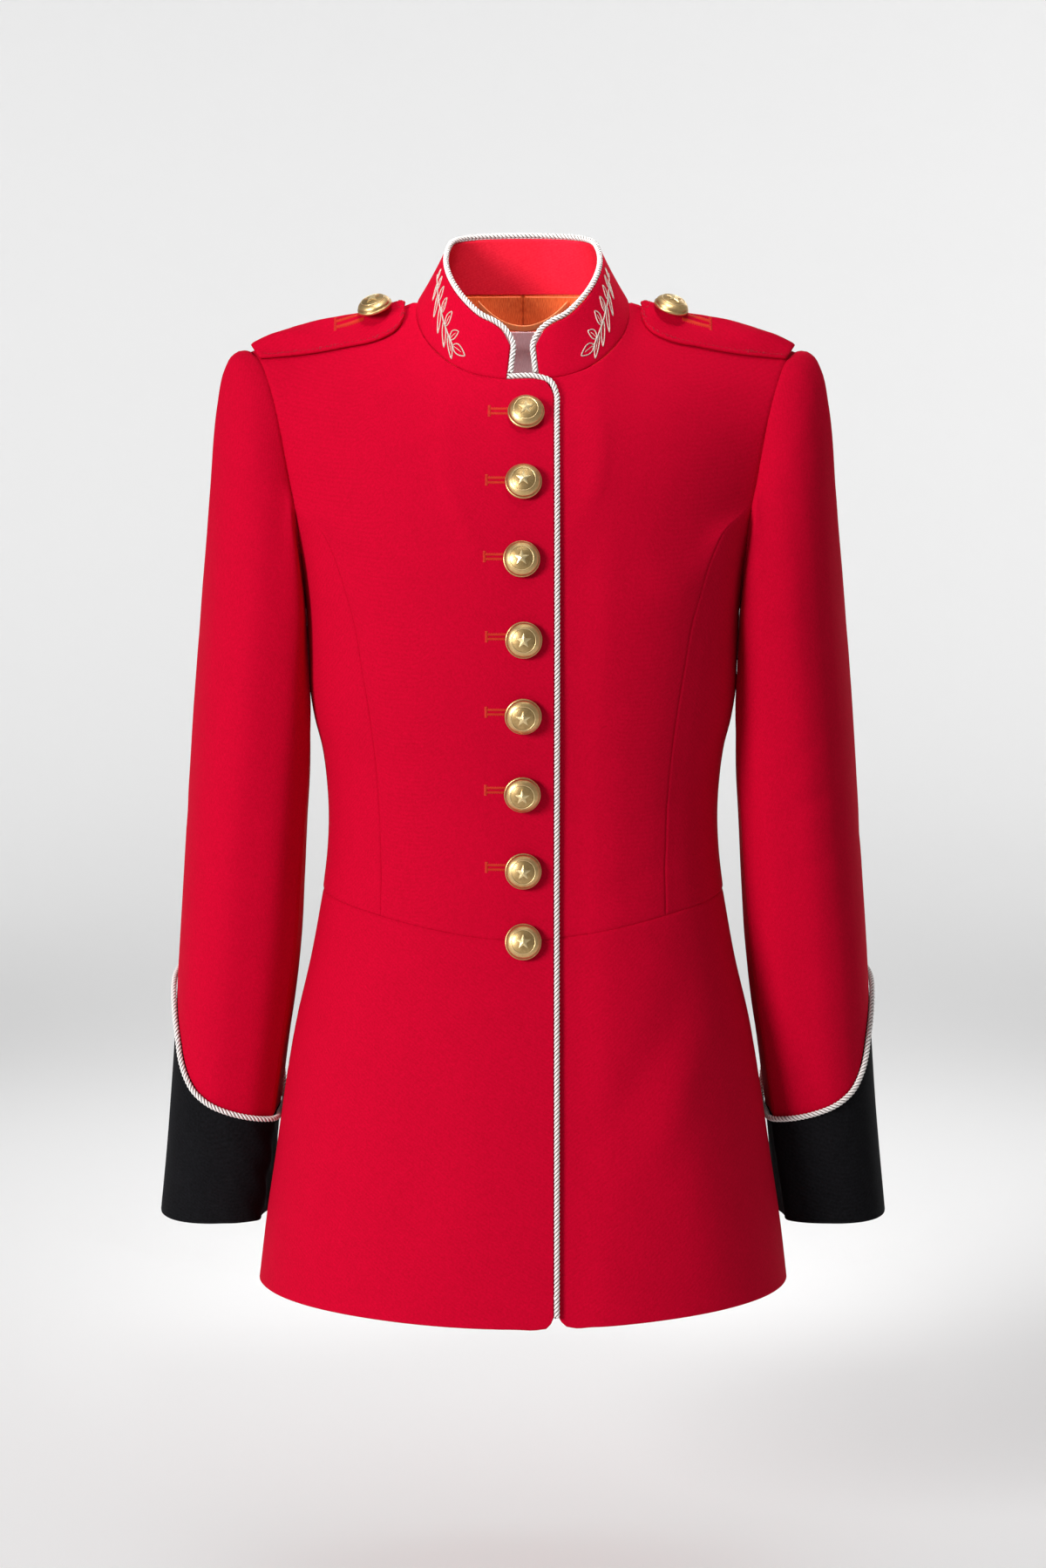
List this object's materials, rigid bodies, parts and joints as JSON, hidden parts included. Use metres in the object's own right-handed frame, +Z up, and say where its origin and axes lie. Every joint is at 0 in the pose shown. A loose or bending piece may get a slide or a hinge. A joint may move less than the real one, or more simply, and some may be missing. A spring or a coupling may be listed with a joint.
{
  "type": "military-style blazer",
  "caption": "Fitted hip-length tunic jacket, filled out and hollow, with a stand collar, piped front edge, shoulder straps, domed brass buttons and contrasting cuffs.",
  "frame": {"origin": "middle of the neck base, between the points where the shoulder seams meet the collar, where the wearer holds the garment up", "axes": "+Z up, -Y the way the front faces, +X to the wearer's left"},
  "size_m": [0.5118, 0.2671, 0.7273],
  "materials": {
    "red_wool": "fine brushed wool",
    "black_wool": "fine brushed wool",
    "white_cord": "twisted cord",
    "orange_satin": "satin lining",
    "label_satin": "woven satin",
    "gilt_brass": "antique brushed"
  },
  "bodies": {
    "root": {"front_left": "red_wool", "front_right": "red_wool", "side_left": "red_wool", "side_right": "red_wool", "back_left": "red_wool", "back_right": "red_wool", "skirt_front_left": "red_wool", "skirt_front_right": "red_wool", "skirt_back_left": "red_wool", "skirt_back_right": "red_wool", "sleeve_top_left": "red_wool", "sleeve_top_right": "red_wool", "sleeve_under_left": "red_wool", "sleeve_under_right": "red_wool", "collar": "red_wool", "strap_left": "red_wool", "strap_right": "red_wool", "cuff_left": "black_wool", "cuff_right": "black_wool", "collar_cord": "white_cord", "front_cord_left": "white_cord", "front_cord_right": "white_cord", "cuff_cord_left": "white_cord", "cuff_cord_right": "white_cord", "lining_left": "orange_satin", "lining_right": "orange_satin", "hanger_loop": "orange_satin", "label": "label_satin", "button_1": "gilt_brass", "button_2": "gilt_brass", "button_3": "gilt_brass", "button_4": "gilt_brass", "button_5": "gilt_brass", "button_6": "gilt_brass", "button_7": "gilt_brass", "button_8": "gilt_brass", "strap_button_left": "gilt_brass", "strap_button_right": "gilt_brass"}
  },
  "joints": []
}
